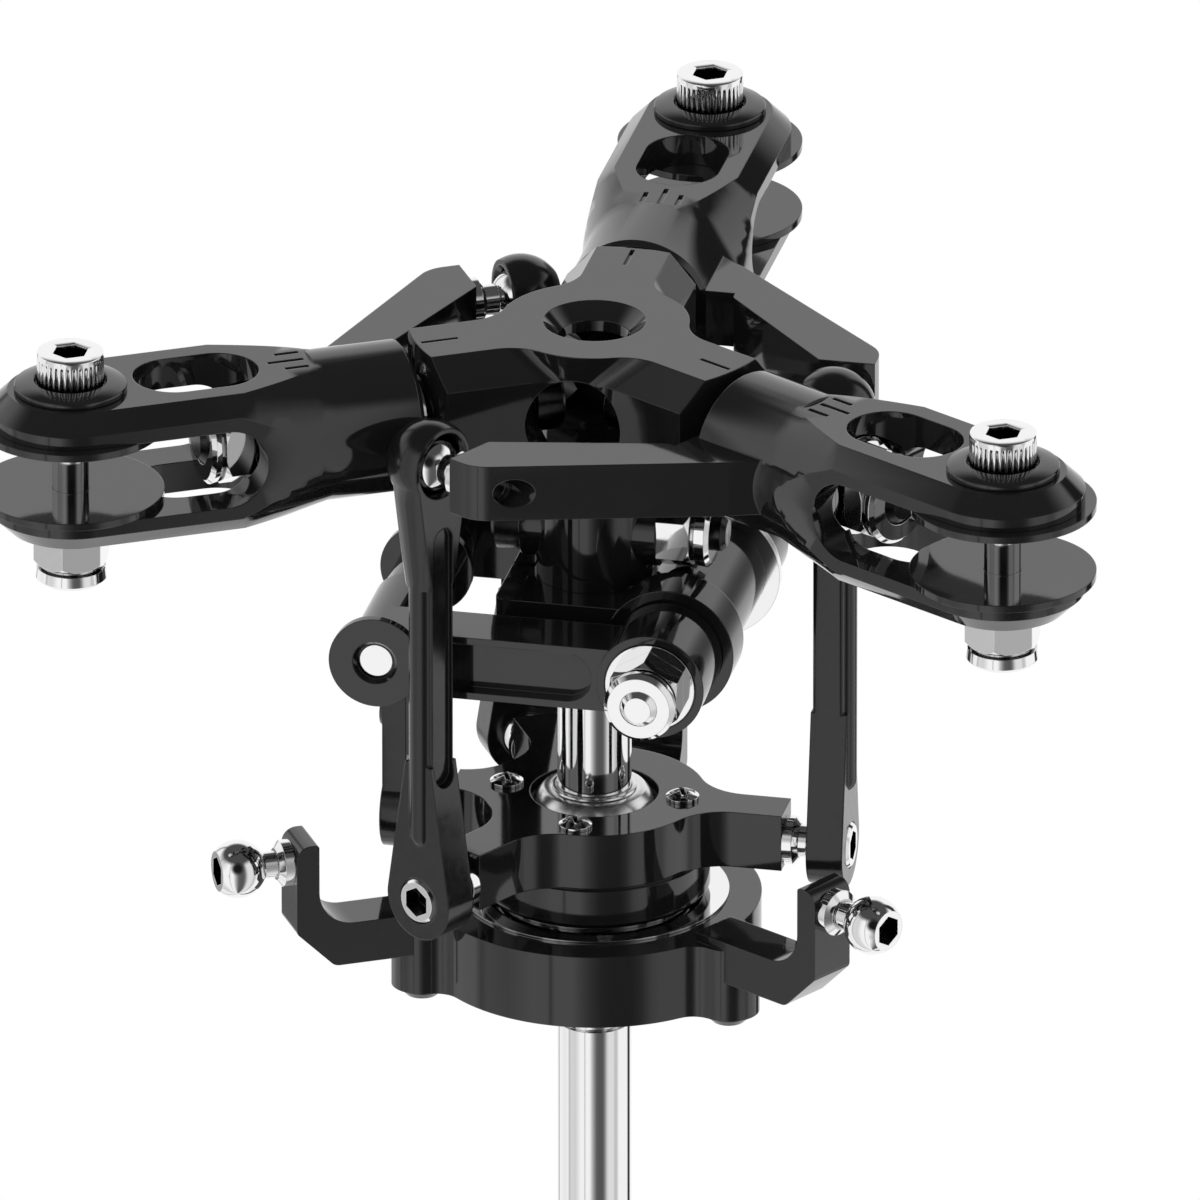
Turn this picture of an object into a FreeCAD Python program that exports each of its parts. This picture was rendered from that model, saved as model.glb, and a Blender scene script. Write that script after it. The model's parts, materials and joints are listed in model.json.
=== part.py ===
import FreeCAD, Part
import math
import os
import Sketcher
from FreeCAD import Placement, Rotation, Vector

# A three-blade rotor hub for a model helicopter. The origin is the centre of the shaft's
# lower end, +Z goes up the shaft. Each grip is drawn along +X in an arm's own frame, with
# its feathering axis at z = 0, and is then turned to its place round the shaft.

SIZES = {
    # Shaft, hub block and neck
    "shaft_radius": 3.0,
    "hub_top": 100.0,
    "hub_height": 12.0,
    "shaft_top_gap": 0.8,
    "boss_radius": 7.65,
    "arm_top_half": 3.0,
    "arm_side_half": 5.3,
    "arm_reach": 15.0,
    "arm_bevel": 2.35,
    "valley_fillet": 4.0,
    "cavity_radius": 5.6,
    "cavity_roof": 2.2,
    "top_hole_radius": 2.9,
    "top_hole_rim": 4.15,
    "porthole_radius": 3.9,
    "collar_radius": 4.8,
    "collar_height": 9.9,
    "cross_drop": 17.6,
    "cross_boss_reach": 5.6,
    "screw_radius": 1.5,
    "screw_head_radius": 2.75,
    "screw_head_height": 2.4,
    "hex_key_radius": 1.45,
    "nut_flats_half": 2.75,
    "nut_height": 2.7,
    "nut_collar": 1.6,
    "shaft_grip_length": 38.6,
    "shaft_groove_width": 0.9,
    "shaft_groove_depth": 0.3,
    "shaft_pin_radius": 1.05,
    "shaft_pin_height": 6.0,
    "line_width": 0.35,
    "line_depth": 0.25,
    # Spindles and bearings
    "spindle_radius": 2.0,
    "spindle_head_seat": 5.6,
    "near_spacer": 1.6,
    "bearing_width": 3.0,
    "middle_spacer": 1.4,
    "lip_width": 1.0,
    "bearing_radius": 4.0,
    "thrust_width": 3.6,
    "thrust_radius": 4.2,
    "thrust_washer": 0.6,
    "spindle_nut_flats": 3.5,
    "spindle_nut_height": 4.0,
    # Grips
    "grip_gap": 1.0,
    "barrel_radius": 6.1,
    "barrel_length": 7.4,
    "cone_slope": 0.223,
    "clevis_half_width": 6.6,
    "clevis_half_height": 5.9,
    "clevis_bevel": 1.5,
    "bolt_reach": 44.04,
    "ear_gap_half": 3.3,
    "slot_half_width": 3.4,
    "slot_web": 5.34,
    "window_step": 4.4,
    "spindle_end": 0.4,
    "lip_radius": 3.2,
    "mark_depth": 0.2,
    "mark_width": 0.4,
    # Pitch arms and links
    "link_radius": 19.6,
    "ball_offset": 0.18,
    "ball_radius": 2.375,
    "ball_neck": 1.25,
    "ball_flange": 2.0,
    "ball_shank": 1.0,
    "ball_key": 1.1,
    "arm_face": 4.4,
    "pitch_arm_half": 2.35,
    "socket_gap": 0.3,
    "link_head_radius": 3.5,
    "link_head_flat": 2.9,
    "link_foot_radius": 3.3,
    "link_foot_half": 1.5,
    "foot_taper": 12.0,
    "link_half_width": 1.45,
    "link_neck_drop": 10.6,
    "link_neck_radius": 1.95,
    "recess_half": 1.1,
    "recess_top": 6.6,
    "recess_low": 27.0,
    "rib_radius": 1.1,
    "rib_offset": 0.9,
    # Blade bolts
    "washer_radius": 4.55,
    "washer_height": 1.4,
    "washer_well": 3.4,
    "washer_floor": 0.3,
    "blade_head_radius": 2.7,
    "blade_head_height": 3.0,
    "spacer_radius": 7.5,
    "spacer_height": 0.6,
    "plate_radius": 3.5,
    "plate_height": 0.5,
    # Driver base and scissor arms
    "base_height": 7.0,
    "base_half_depth": 7.2,
    "base_back": 6.7,
    "hinge_x": 7.7,
    "hinge_drop": 25.2,
    "hinge_boss_radius": 4.4,
    "hinge_flange_radius": 5.3,
    "base_front": 7.3,
    "base_rear": 9.0,
    "split_half": 0.4,
    "pinch_x": 5.0,
    "elbow_x": 14.9,
    "front_beam_outer": 14.0,
    "front_beam_inner": 9.0,
    "rear_beam_inner": 10.0,
    "rear_beam_outer": 14.5,
    "beam_half_height": 2.7,
    "rear_barrel_radius": 4.8,
    "rear_barrel_end": 16.2,
    "tube_radius": 2.0,
    "tube_bore": 1.55,
    "tube_mouth": 1.85,
    "tube_pin_step": 0.5,
    "tube_flange": 3.8,
    "eye_radius": 2.4,
    "eye_front": 2.5,
    "eye_rear": 4.6,
    "strap_half": 2.4,
    "strap_face": 15.0,
    "driver_ball_x": 15.5,
    "elbow_swing": 0.16,
    # Swashplate
    "star_top_drop": 41.3,
    "ball_level": 2.8,
    "skirt_height": 3.4,
    "ring_step": 0.5,
    "servo_arm_step": 0.8,
    "servo_ball_edge": 2.1,
    "star_arm_depth": 4.8,
    "star_radius": 9.0,
    "star_skirt_radius": 9.35,
    "star_arm_half": 1.85,
    "star_arm_reach": 15.8,
    "driver_arm_reach": 11.5,
    "star_fillet": 4.5,
    "star_hole": 5.2,
    "race_radius": 6.45,
    "race_height": 5.0,
    "race_bore": 3.9,
    "circlip_height": 0.8,
    "circlip_width": 1.05,
    "circlip_gap_half": 1.2,
    "race_lip": 0.9,
    "uniball_radius": 5.65,
    "uniball_half": 4.3,
    "uniball_sleeve": 0.5,
    "uniball_wall": 0.35,
    "star_screw_circle": 7.25,
    "star_screw_head": 1.35,
    "star_screw_rise": 0.8,
    "ring_bearing_height": 5.0,
    "ring_bearing_bore": 7.2,
    "ring_bearing_inner": 8.1,
    "ring_ball_radius": 0.8,
    "ring_bearing_outer": 10.9,
    "ring_shield_drop": 0.3,
    "ring_radius": 13.5,
    "ring_height": 6.2,
    "lobe_reach": 14.6,
    "lobe_radius": 2.5,
    "lobe_fillet": 2.0,
    "servo_arm_half": 2.1,
    "servo_arm_depth": 3.6,
    "servo_face": 25.8,
    "servo_upright": 1.9,
    "servo_ball_reach": 30.17,
    "run_gap": 0.05,
    "snug_gap": 0.02,
}
ARM_ANGLES = (-30, 90, 210)
LINK_ANGLES = (0, 120, 240)
SWASH_BALLS = 16

doc = FreeCAD.newDocument("RotorHub")
sheet = doc.addObject("Spreadsheet::Sheet", "Sizes")
nodes = []


class Size:
    """A length that knows its value and the spreadsheet expression that gives it."""

    def __init__(self, value, text):
        self.value = value
        self.text = text

    def _join(self, other, sign, result):
        return Size(result, "(" + self.text + sign + size_of(other).text + ")")

    def __add__(self, other):
        return self._join(other, " + ", self.value + float(other))

    def __radd__(self, other):
        return size_of(other) + self

    def __sub__(self, other):
        return self._join(other, " - ", self.value - float(other))

    def __rsub__(self, other):
        return size_of(other) - self

    def __mul__(self, other):
        return self._join(other, " * ", self.value * float(other))

    __rmul__ = __mul__

    def __truediv__(self, other):
        return self._join(other, " / ", self.value / float(other))

    def __neg__(self):
        return Size(-self.value, "(0 - " + self.text + ")")

    def __float__(self):
        return float(self.value)


def size_of(value):
    return value if isinstance(value, Size) else Size(float(value), repr(float(value)))


class Values:
    """Reads the sheet's cells by alias, as Size objects."""

    def __getattr__(self, alias):
        return Size(float(SIZES[alias]), "Sizes." + alias)


def fill_sheet():
    for row, (alias, value) in enumerate(SIZES.items(), 1):
        sheet.set("A%d" % row, alias)
        sheet.set("B%d" % row, str(value))
        sheet.setAlias("B%d" % row, alias)
    doc.recompute()


fill_sheet()
v = Values()
axis_z = v.hub_top - v.hub_height / 2

# Places along an arm, from the hub block outward
grip_start = v.arm_reach + v.grip_gap
bearing_near = v.arm_reach + v.near_spacer
bearing_far = bearing_near + v.bearing_width + v.middle_spacer
thrust_start = bearing_far + v.bearing_width + v.lip_width
thrust_end = thrust_start + v.thrust_width
nut_seat = thrust_end + v.thrust_washer
cone_start = grip_start + v.barrel_length
slot_start = thrust_end - 0.2
slot_end = v.bolt_reach - v.slot_web
window_reach = slot_start + v.window_step
spindle_tip = nut_seat + v.spindle_nut_height + v.spindle_end

# Drops below the hub's top
ball_drop = v.star_top_drop + v.ball_level
bearing_drop = v.star_top_drop + v.star_arm_depth + v.skirt_height
ring_drop = bearing_drop + v.ring_step
servo_arm_drop = ring_drop - v.servo_arm_step
servo_top_drop = ball_drop - v.servo_ball_edge
link_length = ball_drop - v.hub_height / 2

# Longer than any hole that goes right through
through = v.bolt_reach


def bind(thing, field, value):
    setattr(thing, field, float(value))
    thing.setExpression(field, size_of(value).text)


def at(x=0, y=0, z=0, along=(0, 0, 1)):
    """A placement at a point, with a solid's own +Z turned along a direction."""
    turn = Rotation(Vector(0, 0, 1), Vector(*along))
    return Placement(Vector(float(x), float(y), float(z)), turn)


def around(angle, z=0):
    """The frame of an arm: +X outward at an angle round the shaft."""
    return Placement(Vector(0, 0, float(z)), Rotation(Vector(0, 0, 1), angle))


def box(x0, x1, y0, y1, z0, z1):
    thing = doc.addObject("Part::Box", "Block")
    bind(thing, "Length", size_of(x1) - x0)
    bind(thing, "Width", size_of(y1) - y0)
    bind(thing, "Height", size_of(z1) - z0)
    thing.Placement.Base = Vector(float(x0), float(y0), float(z0))
    return thing


def rod(radius, length, place):
    thing = doc.addObject("Part::Cylinder", "Rod")
    bind(thing, "Radius", radius)
    bind(thing, "Height", length)
    thing.Placement = place
    return thing


def sphere(radius, x=0, y=0, z=0):
    thing = doc.addObject("Part::Sphere", "Ball")
    bind(thing, "Radius", radius)
    thing.Placement = at(x, y, z)
    return thing


def hexagon(half_flats, length, place):
    """A six-sided prism, half_flats from its axis to each flat."""
    thing = doc.addObject("Part::Prism", "Hexagon")
    thing.Polygon = 6
    bind(thing, "Circumradius", size_of(half_flats) / math.cos(math.pi / 6))
    bind(thing, "Height", length)
    thing.Placement = place
    return thing


def fuse(*parts):
    thing = doc.addObject("Part::MultiFuse", "Joined")
    thing.Shapes = list(parts)
    return thing


def cut(base, *tools):
    thing = doc.addObject("Part::Cut", "Cut")
    thing.Base = base
    thing.Tool = tools[0] if len(tools) == 1 else fuse(*tools)
    return thing


def common(*parts):
    thing = doc.addObject("Part::MultiCommon", "Shared")
    thing.Shapes = list(parts)
    return thing


def group(*parts):
    thing = doc.addObject("Part::Compound", "Group")
    thing.Links = list(parts)
    return thing


def placed(part, place):
    thing = group(part)
    thing.Placement = place
    return thing


def repeated(make, angles, z=0):
    """Copies of one piece, turned round the shaft and lifted to a height."""
    return group(*[placed(make, around(angle, z)) for angle in angles])


def node(name, part):
    """Marks a finished piece: its label names the file that it is written to."""
    part.Label = name
    nodes.append(part)
    return part


def turned(profile, place=None):
    """A body of revolution: (along, radius) points, closed, turned about its own +X."""
    body = doc.addObject("PartDesign::Body", "Turned")
    sketch = body.newObject("Sketcher::SketchObject", "Profile")
    planes = {plane.Role: plane for plane in body.Origin.OriginFeatures}
    sketch.AttachmentSupport = [(planes["XZ_Plane"], "")]
    sketch.MapMode = "FlatFace"
    points = [(size_of(a), size_of(r)) for a, r in profile]
    count = len(points)
    for i in range(count):
        start, end = points[i], points[(i + 1) % count]
        sketch.addGeometry(Part.LineSegment(
            Vector(float(start[0]), float(start[1]), 0),
            Vector(float(end[0]), float(end[1]), 0)))
    for i in range(count):
        sketch.addConstraint(Sketcher.Constraint("Coincident", i, 2, (i + 1) % count, 1))
    for i, (along, radius) in enumerate(points):
        for kind, line, length in (("DistanceX", -2, along), ("DistanceY", -1, radius)):
            if abs(float(length)) < 1e-9:
                sketch.addConstraint(Sketcher.Constraint("PointOnObject", i, 1, line))
                continue
            mark = sketch.addConstraint(Sketcher.Constraint(kind, -1, 1, i, 1, float(length)))
            sketch.setExpression("Constraints[%d]" % mark, length.text)
    spin = body.newObject("PartDesign::Revolution", "Spin")
    spin.Profile = sketch
    spin.ReferenceAxis = (sketch, ["H_Axis"])
    spin.Angle = 360
    body.Tip = spin
    if place is not None:
        body.Placement = place
    return body


def facing(x=0, y=0, z=0, along=(1, 0, 0)):
    """A placement for a turned piece: its own +X goes along a direction."""
    turn = Rotation(Vector(1, 0, 0), Vector(*along))
    return Placement(Vector(float(x), float(y), float(z)), turn)


def rounded_wire(corners, z=0):
    """A closed outline in the XY plane through (x, y, radius) corners, arcs at the corners."""
    spots = [(Vector(float(x), float(y), float(z)), float(r)) for x, y, r in corners]
    edges = []
    ends = []
    for i, (corner, radius) in enumerate(spots):
        before = (spots[i - 1][0] - corner).normalize()
        after = (spots[(i + 1) % len(spots)][0] - corner).normalize()
        if radius <= 0:
            ends.append((corner, None, corner))
            continue
        half = before.getAngle(after) / 2
        reach = radius / math.tan(half)
        middle = (before + after).normalize()
        arc_mid = corner + middle * (radius / math.sin(half) - radius)
        ends.append((corner + before * reach, arc_mid, corner + after * reach))
    for i, (start, arc_mid, end) in enumerate(ends):
        if arc_mid is not None:
            edges.append(Part.Arc(start, arc_mid, end).toShape())
        follow = ends[(i + 1) % len(ends)][0]
        if (follow - end).Length > 1e-6:
            edges.append(Part.makeLine(end, follow))
    return Part.Wire(edges)


def outline(shape):
    thing = doc.addObject("Part::Feature", "Outline")
    thing.Shape = shape
    return thing


def prism(wire, depth, place=None):
    """A flat outline pushed up its own +Z by a bound depth."""
    thing = doc.addObject("Part::Extrusion", "Prism")
    thing.Base = outline(wire)
    thing.DirMode = "Custom"
    thing.Dir = Vector(0, 0, 1)
    bind(thing, "LengthFwd", depth)
    thing.Solid = True
    if place is not None:
        thing.Placement = place
    return thing


def loft(*wires):
    thing = doc.addObject("Part::Loft", "Loft")
    thing.Sections = [outline(wire) for wire in wires]
    thing.Solid = True
    thing.Ruled = True
    return thing


def fillet_points(half, boss, fillet):
    """Where a fillet joins an arm of one half-width to a round boss: on the arm, at the
    arc's middle and on the boss, for the arm's +Y side."""
    half, boss, fillet = float(half), float(boss), float(fillet)
    centre = Vector(math.sqrt((boss + fillet) ** 2 - (half + fillet) ** 2), half + fillet, 0)
    on_arm = Vector(centre.x, half, 0)
    on_boss = centre * (boss / (boss + fillet))
    middle = centre + ((on_arm + on_boss) * 0.5 - centre).normalize() * fillet
    return on_arm, middle, on_boss


def mirrored(point):
    return Vector(point.x, -point.y, 0)


def lobed_wire(half, z):
    """The hub's outline: three arms of one half-width joined to the boss by fillets."""
    on_arm, middle, on_boss = fillet_points(half, v.boss_radius, v.valley_fillet)
    end = Vector(float(v.arm_reach), float(half), 0)
    valley = Rotation(Vector(0, 0, 1), 60).multVec(Vector(float(v.boss_radius), 0, 0))
    after = Rotation(Vector(0, 0, 1), 120).multVec(mirrored(on_boss))
    edges = []
    for angle in ARM_ANGLES:
        place = around(angle, z)

        def arc(*points):
            edges.append(Part.Arc(*[place.multVec(point) for point in points]).toShape())

        def line(*points):
            edges.append(Part.makeLine(*[place.multVec(point) for point in points]))

        arc(mirrored(on_boss), mirrored(middle), mirrored(on_arm))
        line(mirrored(on_arm), mirrored(end))
        line(mirrored(end), end)
        line(end, on_arm)
        arc(on_arm, middle, on_boss)
        arc(on_boss, valley, after)
    return Part.Wire(edges)


def filleted_arm(half, reach, boss, fillet, low, depth):
    """One flat arm that grows out of a round boss through a fillet on each side."""
    on_arm, middle, on_boss = fillet_points(half, boss, fillet)
    end = Vector(max(float(reach), on_arm.x + 0.01), float(half), 0)
    wire = Part.Wire([
        Part.Arc(mirrored(on_boss), mirrored(middle), mirrored(on_arm)).toShape(),
        Part.makeLine(mirrored(on_arm), mirrored(end)), Part.makeLine(mirrored(end), end),
        Part.makeLine(end, on_arm), Part.Arc(on_arm, middle, on_boss).toShape(),
        Part.makeLine(on_boss, mirrored(on_boss))])
    return common(prism(wire, depth, at(z=low)), box(0, reach, -20, 20, low, low + depth))


def hub_block():
    top, low = v.hub_top, v.hub_top - v.hub_height
    upper, lower = top - v.arm_bevel, low + v.arm_bevel
    body = loft(lobed_wire(v.arm_top_half, low), lobed_wire(v.arm_side_half, lower),
                lobed_wire(v.arm_side_half, upper), lobed_wire(v.arm_top_half, top))
    limit = turned([(low, 0), (low, v.arm_reach), (top, v.arm_reach), (top, 0)],
                   facing(along=(0, 0, 1)))
    collar = rod(v.collar_radius, v.collar_height + 1, at(z=low - v.collar_height))
    cross_z = top - v.cross_drop
    boss = rod(v.screw_head_radius + 0.35, v.cross_boss_reach * 2,
               at(-v.cross_boss_reach, 0, cross_z, (1, 0, 0)))
    boss_trim = box(-v.cross_boss_reach, v.cross_boss_reach, -v.collar_radius, v.collar_radius,
                    low - v.collar_height, low)
    tools = []
    depth = v.top_hole_rim - v.top_hole_radius
    tools.append(turned([(top + 1, 0), (top + 1, v.top_hole_rim + 1),
                         (top - depth, v.top_hole_radius),
                         (axis_z, v.top_hole_radius), (axis_z, 0)], facing(along=(0, 0, 1))))
    tools.append(rod(v.cavity_radius, v.hub_height - v.cavity_roof * 2, at(z=low + v.cavity_roof)))
    tools.append(rod(v.shaft_radius + v.snug_gap, v.collar_height + v.shaft_top_gap + 1,
                     at(z=low - v.collar_height - 1)))
    tools.append(rod(v.screw_radius + v.snug_gap, through, at(-through / 2, 0, cross_z, (1, 0, 0))))
    for angle in ARM_ANGLES:
        seat = rod(v.screw_head_radius + v.snug_gap, v.spindle_head_seat, at(along=(1, 0, 0)))
        hole = rod(v.spindle_radius + v.snug_gap, v.arm_reach + 1, at(along=(1, 0, 0)))
        line = box(v.arm_reach - 3.5, v.arm_reach - 0.4, -v.line_width / 2, v.line_width / 2,
                   v.hub_height / 2 - v.line_depth, v.hub_height / 2 + 1)
        tools.append(placed(fuse(seat, hole, line), around(angle, axis_z)))
        port = rod(v.porthole_radius, v.boss_radius + 3, at(along=(1, 0, 0)))
        tools.append(placed(port, around(angle + 60, axis_z)))
    return cut(fuse(common(body, limit), collar, common(boss, boss_trim)), *tools)


def main_shaft():
    edge = 0.4
    top = v.hub_top - v.hub_height + v.shaft_top_gap
    groove, neck = v.shaft_grip_length, v.shaft_radius - v.shaft_groove_depth
    body = turned([(0, 0), (0, v.shaft_radius), (groove, v.shaft_radius), (groove, neck),
                   (groove + v.shaft_groove_width, neck),
                   (groove + v.shaft_groove_width, v.shaft_radius),
                   (top - edge, v.shaft_radius), (top, v.shaft_radius - edge), (top, 0)],
                  facing(along=(0, 0, 1)))
    cross = rod(v.screw_radius + v.snug_gap, 12, at(-6, 0, v.hub_top - v.cross_drop, (1, 0, 0)))
    pin = rod(v.shaft_pin_radius, 12, at(-6, 0, v.shaft_pin_height, (1, 0, 0)))
    return cut(body, cross, pin)


def cap_screw(head_radius, head_height, radius, length, place, key_half=None):
    """A socket-head screw: its own +X goes from under the head to the tip."""
    soft, tip = 0.3, radius * 0.28
    body = turned([(-head_height, 0), (-head_height, head_radius - soft),
                   (-head_height + soft, head_radius), (0, head_radius), (0, radius),
                   (length - tip, radius), (length, radius - tip), (length, 0)])
    key = hexagon(key_half or v.hex_key_radius, head_height * 0.7 + 0.1,
                  at(-head_height - 0.1, along=(1, 0, 0)))
    screw = cut(body, key)
    screw.Placement = place
    return screw


def lock_nut(half_flats, height, collar, bore, place):
    """A chamfered hexagon nut with a nylon-insert collar, its own +X away from the seat."""
    body = hexagon(half_flats, height, at(along=(1, 0, 0)))
    crown = turned([(0, 0), (0, half_flats * 1.2), (height - 0.5, half_flats * 1.17),
                    (height, half_flats * 1.02), (height, 0)])
    end = height + collar
    dome = turned([(height - 0.1, 0), (height - 0.1, half_flats - 0.3),
                   (height + 0.3, half_flats - 0.3), (height + 0.4, half_flats + 0.05),
                   (end - 0.35, half_flats + 0.15), (end, half_flats - 0.2), (end, 0)])
    hole = rod(bore, height + collar + 2, at(-1, along=(1, 0, 0)))
    nut = cut(fuse(common(body, crown), dome), hole)
    nut.Placement = place
    return nut


def hub_fasteners():
    z = v.hub_top - v.cross_drop
    reach = v.cross_boss_reach
    node("hub_cross_bolt", cap_screw(v.screw_head_radius, v.screw_head_height, v.screw_radius,
                                     reach * 2 + v.nut_height + v.nut_collar + 1.1,
                                     facing(-reach, 0, z)))
    node("hub_cross_nut", lock_nut(v.nut_flats_half, v.nut_height, v.nut_collar,
                                   v.screw_radius + v.snug_gap, facing(reach, 0, z)))


def spindle():
    """A long cap screw whose head sits in the hub and whose tip carries the grip's nut."""
    return cap_screw(v.screw_head_radius, v.screw_head_height, v.spindle_radius,
                     spindle_tip - v.spindle_head_seat, facing(v.spindle_head_seat))


def ring(start, end, inner, outer):
    return turned([(start, inner), (start, outer), (end, outer), (end, inner)])


def spindle_spacers():
    bore = v.spindle_radius + v.snug_gap
    near = ring(v.arm_reach, bearing_near, bore, bore + 1.0)
    middle = ring(bearing_near + v.bearing_width, bearing_far, bore, bore + 0.7)
    far = ring(thrust_end, nut_seat, v.spindle_radius + v.run_gap, v.thrust_radius - 0.3)
    return group(near, middle, far)


def grip_bearings():
    """Two radial bearings and a thrust bearing on one spindle, shields on."""
    bore = v.spindle_radius + v.run_gap
    shell = v.bearing_radius
    parts = []
    for start in (bearing_near, bearing_far):
        end = start + v.bearing_width
        parts.append(turned([
            (start, bore), (start, bore + 0.6), (start + 0.25, bore + 0.6),
            (start + 0.25, shell - 0.5), (start, shell - 0.5), (start, shell), (end, shell),
            (end, shell - 0.5), (end - 0.25, shell - 0.5), (end - 0.25, bore + 0.6),
            (end, bore + 0.6), (end, bore)]))
    start, end = thrust_start, thrust_start + v.thrust_width
    parts.append(turned([
        (start, bore), (start, v.thrust_radius - 0.1), (start + 1.0, v.thrust_radius - 0.1),
        (start + 1.0, v.thrust_radius - 0.6), (end - 1.0, v.thrust_radius - 0.6),
        (end - 1.0, v.thrust_radius - 0.1), (end, v.thrust_radius - 0.1), (end, bore)]))
    return group(*parts)


def stadium_wire(half, x0, z):
    """The clevis outline: straight sides from x0 and a round end about the blade bolt."""
    x0, half, z, x1 = float(x0), float(half), float(z), float(v.bolt_reach)
    low, high = Vector(x1, -half, z), Vector(x1, half, z)
    start_low, start_high = Vector(x0, -half, z), Vector(x0, half, z)
    return Part.Wire([Part.makeLine(start_low, low),
                      Part.Arc(low, Vector(x1 + half, 0, z), high).toShape(),
                      Part.makeLine(high, start_high), Part.makeLine(start_high, start_low)])


def pitch_arm():
    face, reach = v.arm_face, v.link_radius + v.ball_offset
    wire = rounded_wire([
        (face, -reach + 2.3, 0), (face, -reach - 2.3, 0), (face + 2.6, -reach - 2.3, 3.0),
        (grip_start + 5.45, -v.barrel_radius - 1.5, 2.0),
        (grip_start + 7.6, -v.barrel_radius + 1.1, 0),
        (grip_start, -v.barrel_radius + 1.5, 0), (grip_start, -v.barrel_radius - 2.0, 0),
        (grip_start - 0.8, -v.barrel_radius - 2.0, 0.8)], -v.pitch_arm_half)
    arm = prism(wire, v.pitch_arm_half * 2)
    way = rod(1.2, through, at(face + 3.4, -reach, 0, (1, 0, 0)))
    return arm, way


def grip():
    start, tip = grip_start, v.bolt_reach + v.clevis_half_width + 1
    edge = 0.4
    barrel = turned([(start, 0), (start, v.barrel_radius - edge), (start + edge, v.barrel_radius),
                     (cone_start + 0.6, v.barrel_radius), (cone_start + 0.6, 0)])
    far_radius = v.barrel_radius + (tip - cone_start) * v.cone_slope
    cone = turned([(cone_start, 0), (cone_start, v.barrel_radius), (tip, far_radius), (tip, 0)])
    wide, slim = v.clevis_half_width, v.clevis_half_width - v.clevis_bevel
    high, side = v.clevis_half_height, v.clevis_half_height - v.clevis_bevel
    x0 = cone_start - 1
    clevis = loft(stadium_wire(slim, x0, -high), stadium_wire(wide, x0, -side),
                  stadium_wire(wide, x0, side), stadium_wire(slim, x0, high))
    arm, way = pitch_arm()
    ears = box(window_reach, tip, -20, 20, -v.ear_gap_half, v.ear_gap_half)
    ear_end = rod(v.ear_gap_half, 40, at(window_reach, 20, 0, (0, -1, 0)))
    near, far = slot_start + v.slot_half_width, slot_end - v.slot_half_width
    slot = [rod(v.slot_half_width, 20, at(near, 0, -10)), rod(v.slot_half_width, 20, at(far, 0, -10)),
            box(near, far, -v.slot_half_width, v.slot_half_width, -10, 10)]
    lip = bearing_far + v.bearing_width
    snug = v.snug_gap
    bore = turned([(start - 1, 0), (start - 1, v.bearing_radius + snug),
                   (lip, v.bearing_radius + snug), (lip, v.lip_radius),
                   (thrust_start, v.lip_radius), (thrust_start, v.thrust_radius + snug),
                   (slot_start + 2, v.thrust_radius + snug), (slot_start + 2, 0)])
    bolt = rod(v.screw_radius + v.snug_gap, 20, at(v.bolt_reach, 0, -10))
    shank = rod(v.ball_shank, 8, at(v.arm_face - 1, -v.link_radius - v.ball_offset, 0, (1, 0, 0)))
    marks = []
    for y, length in ((-1.45, 2.0), (0, 3.0), (1.45, 2.0)):
        marks.append(box(cone_start + 1.1, cone_start + 1.1 + length, y - v.mark_width / 2,
                         y + v.mark_width / 2, high - v.mark_depth, high + 1))
    return cut(fuse(barrel, common(cone, clevis), arm), ears, ear_end, bore, bolt, way, shank,
               *slot, *marks)


def ball_stud(face, shank, reach, flange, neck, place):
    """A ball on a flanged screw. Its own +X runs from the seat to the ball's centre."""
    trim = 0.72 * v.ball_radius
    post = turned([(-shank, 0), (-shank, v.ball_shank), (0, v.ball_shank), (0, flange),
                   (face - 0.4, flange), (face, flange - 0.6), (face, neck), (reach, neck),
                   (reach, 0)])
    ball = common(sphere(v.ball_radius, reach), box(-5, reach + trim, -5, 5, -5, 5))
    key = hexagon(v.ball_key, 1.7, at(reach + trim - 1.5, along=(1, 0, 0)))
    stud = cut(fuse(post, ball), key)
    stud.Placement = place
    return stud


def pitch_ball():
    place = facing(v.arm_face, -v.link_radius - v.ball_offset, 0, (-1, 0, 0))
    return ball_stud(1.2, 3.2, v.arm_face, v.ball_flange, v.ball_neck, place)


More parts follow.
